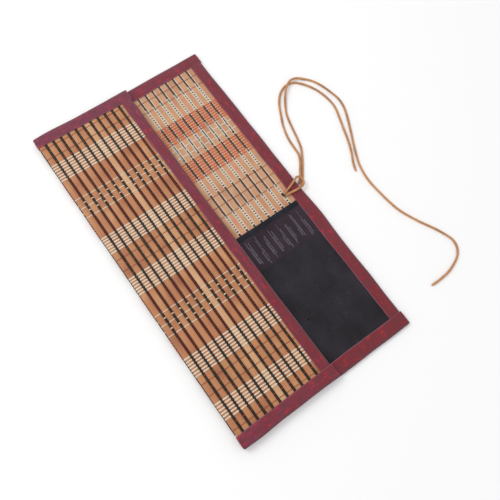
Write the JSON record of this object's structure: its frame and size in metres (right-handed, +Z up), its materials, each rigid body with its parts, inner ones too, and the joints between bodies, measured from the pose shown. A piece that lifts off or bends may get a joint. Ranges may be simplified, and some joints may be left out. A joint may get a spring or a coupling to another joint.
{
  "type": "brush roll case",
  "caption": "Roll-up mat of bamboo slats bound in ribbon, folded once, with a cloth pocket inside and a doubled tie cord.",
  "frame": {"origin": "middle of the underside of the folded mat, without the loose cord", "axes": "+X across the slats from the fold to the edge with the cord, +Y along the slats towards the end away from the pocket, +Z up"},
  "size_m": [0.2931, 0.36, 0.008],
  "materials": {
    "bamboo": "split bamboo, satin, tan with darker and paler slats",
    "dark_bamboo": "black-stained bamboo sticks",
    "ribbon": "woven maroon brocade ribbon, slight sheen",
    "pocket_cloth": "plain black cotton",
    "elastic": "black elastic band with thin grey lines",
    "thread_cream": "cream cotton warp thread",
    "thread_red": "red-brown cotton warp thread",
    "cord": "waxed tan cotton cord"
  },
  "bodies": {
    "cord_edge": {"base_slat_01": "bamboo", "base_slat_02": "bamboo", "cord_edge_binding": "ribbon", "base_top_binding": "ribbon", "base_bottom_binding": "ribbon", "base_pocket": "pocket_cloth", "base_pocket_band": "elastic", "cord_hitch_loop": "cord", "cord_hitch_band": "cord"},
    "base_row_03": {"base_slat_03": "bamboo"},
    "base_row_04": {"base_slat_04": "bamboo"},
    "base_row_05": {"base_slat_05": "bamboo"},
    "base_row_06": {"base_slat_06": "bamboo"},
    "base_row_07": {"base_slat_07": "bamboo"},
    "base_row_08": {"base_slat_08": "bamboo"},
    "base_row_09": {"base_slat_09": "bamboo"},
    "base_row_10": {"base_slat_10": "bamboo"},
    "base_row_11": {"base_slat_11": "bamboo"},
    "base_row_12": {"base_slat_12": "bamboo"},
    "base_row_13": {"base_slat_13": "bamboo"},
    "base_row_14": {"base_slat_14": "bamboo"},
    "base_row_15": {"base_slat_15": "bamboo"},
    "base_row_16": {"base_slat_16": "bamboo"},
    "base_row_17": {"base_slat_17": "bamboo"},
    "base_row_18": {"base_slat_18": "bamboo"},
    "base_row_19": {"base_slat_19": "bamboo"},
    "base_row_20": {"base_slat_20": "bamboo"},
    "base_row_21": {"base_slat_21": "bamboo"},
    "base_row_22": {"base_slat_22": "bamboo", "fold_stick": "dark_bamboo"},
    "flap_row_01": {"flap_slat_01": "bamboo", "flap_top_binding": "ribbon", "flap_bottom_binding": "ribbon", "flap_pocket": "pocket_cloth", "flap_pocket_band": "elastic"},
    "flap_row_02": {"flap_slat_02": "bamboo"},
    "flap_row_03": {"flap_slat_03": "bamboo"},
    "flap_row_04": {"flap_slat_04": "bamboo"},
    "flap_row_05": {"flap_slat_05": "bamboo"},
    "flap_row_06": {"flap_slat_06": "bamboo"},
    "flap_row_07": {"flap_slat_07": "bamboo"},
    "flap_row_08": {"flap_slat_08": "bamboo"},
    "flap_row_09": {"flap_slat_09": "bamboo"},
    "flap_row_10": {"flap_slat_10": "bamboo"},
    "flap_row_11": {"flap_slat_11": "bamboo"},
    "flap_edge": {"flap_slat_12": "bamboo", "flap_slat_13": "bamboo", "flap_edge_binding": "ribbon"},
    "cord_ends": {"cord_long_end": "cord", "cord_short_end": "cord"}
  },
  "joints": [
    {"name": "tail_roll_outer", "type": "hinge", "parent": "cord_edge", "child": "base_row_03", "pos_m": [0.07858, 0, 0.0019], "axis": [0, -1, 0], "range_deg": [-17, 0]},
    {"name": "tail_roll_outer_04", "type": "hinge", "parent": "base_row_03", "child": "base_row_04", "pos_m": [0.06988, 0, 0.0019], "axis": [0, -1, 0], "range_deg": [-17, 0]},
    {"name": "tail_roll_outer_05", "type": "hinge", "parent": "base_row_04", "child": "base_row_05", "pos_m": [0.06118, 0, 0.0019], "axis": [0, -1, 0], "range_deg": [-17, 0]},
    {"name": "tail_roll_outer_06", "type": "hinge", "parent": "base_row_05", "child": "base_row_06", "pos_m": [0.05248, 0, 0.0019], "axis": [0, -1, 0], "range_deg": [-17, 0]},
    {"name": "tail_roll_inner", "type": "hinge", "parent": "base_row_06", "child": "base_row_07", "pos_m": [0.04378, 0, 0.0019], "axis": [0, -1, 0], "range_deg": [-16, 0]},
    {"name": "tail_roll_inner_08", "type": "hinge", "parent": "base_row_07", "child": "base_row_08", "pos_m": [0.03508, 0, 0.0019], "axis": [0, -1, 0], "range_deg": [-16, 0]},
    {"name": "tail_roll_inner_09", "type": "hinge", "parent": "base_row_08", "child": "base_row_09", "pos_m": [0.02637, 0, 0.0019], "axis": [0, -1, 0], "range_deg": [-16, 0]},
    {"name": "tail_roll_inner_10", "type": "hinge", "parent": "base_row_09", "child": "base_row_10", "pos_m": [0.01767, 0, 0.0019], "axis": [0, -1, 0], "range_deg": [-16, 0]},
    {"name": "core_roll", "type": "hinge", "parent": "base_row_10", "child": "base_row_11", "pos_m": [0.00898, 0, 0.0019], "axis": [0, -1, 0], "range_deg": [-18.9, 0], "deforming": ["base_top_binding", "base_bottom_binding", "flap_top_binding", "flap_bottom_binding", "base_pocket", "base_pocket_band", "flap_pocket", "flap_pocket_band"]},
    {"name": "core_roll_12", "type": "hinge", "parent": "base_row_11", "child": "base_row_12", "pos_m": [0.00028, 0, 0.0019], "axis": [0, -1, 0], "range_deg": [-18.9, 0]},
    {"name": "core_roll_13", "type": "hinge", "parent": "base_row_12", "child": "base_row_13", "pos_m": [-0.00843, 0, 0.0019], "axis": [0, -1, 0], "range_deg": [-18.9, 0]},
    {"name": "core_roll_14", "type": "hinge", "parent": "base_row_13", "child": "base_row_14", "pos_m": [-0.01713, 0, 0.0019], "axis": [0, -1, 0], "range_deg": [-18.9, 0]},
    {"name": "core_roll_15", "type": "hinge", "parent": "base_row_14", "child": "base_row_15", "pos_m": [-0.02583, 0, 0.0019], "axis": [0, -1, 0], "range_deg": [-18.9, 0]},
    {"name": "core_roll_16", "type": "hinge", "parent": "base_row_15", "child": "base_row_16", "pos_m": [-0.03453, 0, 0.0019], "axis": [0, -1, 0], "range_deg": [-18.9, 0]},
    {"name": "core_roll_17", "type": "hinge", "parent": "base_row_16", "child": "base_row_17", "pos_m": [-0.04322, 0, 0.0019], "axis": [0, -1, 0], "range_deg": [-18.9, 0]},
    {"name": "core_roll_18", "type": "hinge", "parent": "base_row_17", "child": "base_row_18", "pos_m": [-0.05192, 0, 0.0019], "axis": [0, -1, 0], "range_deg": [-18.9, 0]},
    {"name": "core_roll_19", "type": "hinge", "parent": "base_row_18", "child": "base_row_19", "pos_m": [-0.06062, 0, 0.0019], "axis": [0, -1, 0], "range_deg": [-18.9, 0]},
    {"name": "core_roll_20", "type": "hinge", "parent": "base_row_19", "child": "base_row_20", "pos_m": [-0.06932, 0, 0.0019], "axis": [0, -1, 0], "range_deg": [-18.9, 0]},
    {"name": "core_roll_21", "type": "hinge", "parent": "base_row_20", "child": "base_row_21", "pos_m": [-0.07802, 0, 0.0019], "axis": [0, -1, 0], "range_deg": [-18.9, 0]},
    {"name": "core_roll_22", "type": "hinge", "parent": "base_row_21", "child": "base_row_22", "pos_m": [-0.08672, 0, 0.0019], "axis": [0, -1, 0], "range_deg": [-18.9, 0]},
    {"name": "flap_open", "type": "hinge", "parent": "base_row_22", "child": "flap_row_01", "pos_m": [-0.09577, 0, 0.004], "axis": [0, -1, 0], "range_deg": [0, 179.9]},
    {"name": "core_roll_flap_02", "type": "hinge", "parent": "flap_row_01", "child": "flap_row_02", "pos_m": [-0.08772, 0, 0.0061], "axis": [0, 1, 0], "range_deg": [-23.25, 0]},
    {"name": "core_roll_flap_03", "type": "hinge", "parent": "flap_row_02", "child": "flap_row_03", "pos_m": [-0.07935, 0, 0.0061], "axis": [0, 1, 0], "range_deg": [-23.25, 0]},
    {"name": "core_roll_flap_04", "type": "hinge", "parent": "flap_row_03", "child": "flap_row_04", "pos_m": [-0.071, 0, 0.0061], "axis": [0, 1, 0], "range_deg": [-23.25, 0]},
    {"name": "core_roll_flap_05", "type": "hinge", "parent": "flap_row_04", "child": "flap_row_05", "pos_m": [-0.06263, 0, 0.0061], "axis": [0, 1, 0], "range_deg": [-23.25, 0]},
    {"name": "core_roll_flap_06", "type": "hinge", "parent": "flap_row_05", "child": "flap_row_06", "pos_m": [-0.05427, 0, 0.0061], "axis": [0, 1, 0], "range_deg": [-23.25, 0]},
    {"name": "core_roll_flap_07", "type": "hinge", "parent": "flap_row_06", "child": "flap_row_07", "pos_m": [-0.04591, 0, 0.0061], "axis": [0, 1, 0], "range_deg": [-23.25, 0]},
    {"name": "core_roll_flap_08", "type": "hinge", "parent": "flap_row_07", "child": "flap_row_08", "pos_m": [-0.03755, 0, 0.0061], "axis": [0, 1, 0], "range_deg": [-23.25, 0]},
    {"name": "core_roll_flap_09", "type": "hinge", "parent": "flap_row_08", "child": "flap_row_09", "pos_m": [-0.02919, 0, 0.0061], "axis": [0, 1, 0], "range_deg": [-23.25, 0]},
    {"name": "core_roll_flap_10", "type": "hinge", "parent": "flap_row_09", "child": "flap_row_10", "pos_m": [-0.02083, 0, 0.0061], "axis": [0, 1, 0], "range_deg": [-23.25, 0]},
    {"name": "core_roll_flap_11", "type": "hinge", "parent": "flap_row_10", "child": "flap_row_11", "pos_m": [-0.01247, 0, 0.0061], "axis": [0, 1, 0], "range_deg": [-23.25, 0]},
    {"name": "core_roll_flap_12", "type": "hinge", "parent": "flap_row_11", "child": "flap_edge", "pos_m": [-0.00411, 0, 0.0061], "axis": [0, 1, 0], "range_deg": [-23.25, 0]},
    {"name": "cord_swing", "type": "hinge", "parent": "cord_edge", "child": "cord_ends", "pos_m": [0.09872, -0.0075, 0.001], "axis": [0, 0, 1], "range_deg": [-12, 18]}
  ],
  "couplings": [
    {"joint": "tail_roll_outer_04", "follows": "tail_roll_outer", "ratio": 1},
    {"joint": "tail_roll_outer_05", "follows": "tail_roll_outer", "ratio": 1},
    {"joint": "tail_roll_outer_06", "follows": "tail_roll_outer", "ratio": 1},
    {"joint": "tail_roll_inner_08", "follows": "tail_roll_inner", "ratio": 1},
    {"joint": "tail_roll_inner_09", "follows": "tail_roll_inner", "ratio": 1},
    {"joint": "tail_roll_inner_10", "follows": "tail_roll_inner", "ratio": 1},
    {"joint": "core_roll_12", "follows": "core_roll", "ratio": 1},
    {"joint": "core_roll_13", "follows": "core_roll", "ratio": 1},
    {"joint": "core_roll_14", "follows": "core_roll", "ratio": 1},
    {"joint": "core_roll_15", "follows": "core_roll", "ratio": 1},
    {"joint": "core_roll_16", "follows": "core_roll", "ratio": 1},
    {"joint": "core_roll_17", "follows": "core_roll", "ratio": 1},
    {"joint": "core_roll_18", "follows": "core_roll", "ratio": 1},
    {"joint": "core_roll_19", "follows": "core_roll", "ratio": 1},
    {"joint": "core_roll_20", "follows": "core_roll", "ratio": 1},
    {"joint": "core_roll_21", "follows": "core_roll", "ratio": 1},
    {"joint": "core_roll_22", "follows": "core_roll", "ratio": 1},
    {"joint": "core_roll_flap_02", "follows": "core_roll", "ratio": 1.23},
    {"joint": "core_roll_flap_03", "follows": "core_roll", "ratio": 1.23},
    {"joint": "core_roll_flap_04", "follows": "core_roll", "ratio": 1.23},
    {"joint": "core_roll_flap_05", "follows": "core_roll", "ratio": 1.23},
    {"joint": "core_roll_flap_06", "follows": "core_roll", "ratio": 1.23},
    {"joint": "core_roll_flap_07", "follows": "core_roll", "ratio": 1.23},
    {"joint": "core_roll_flap_08", "follows": "core_roll", "ratio": 1.23},
    {"joint": "core_roll_flap_09", "follows": "core_roll", "ratio": 1.23},
    {"joint": "core_roll_flap_10", "follows": "core_roll", "ratio": 1.23},
    {"joint": "core_roll_flap_11", "follows": "core_roll", "ratio": 1.23},
    {"joint": "core_roll_flap_12", "follows": "core_roll", "ratio": 1.23}
  ]
}
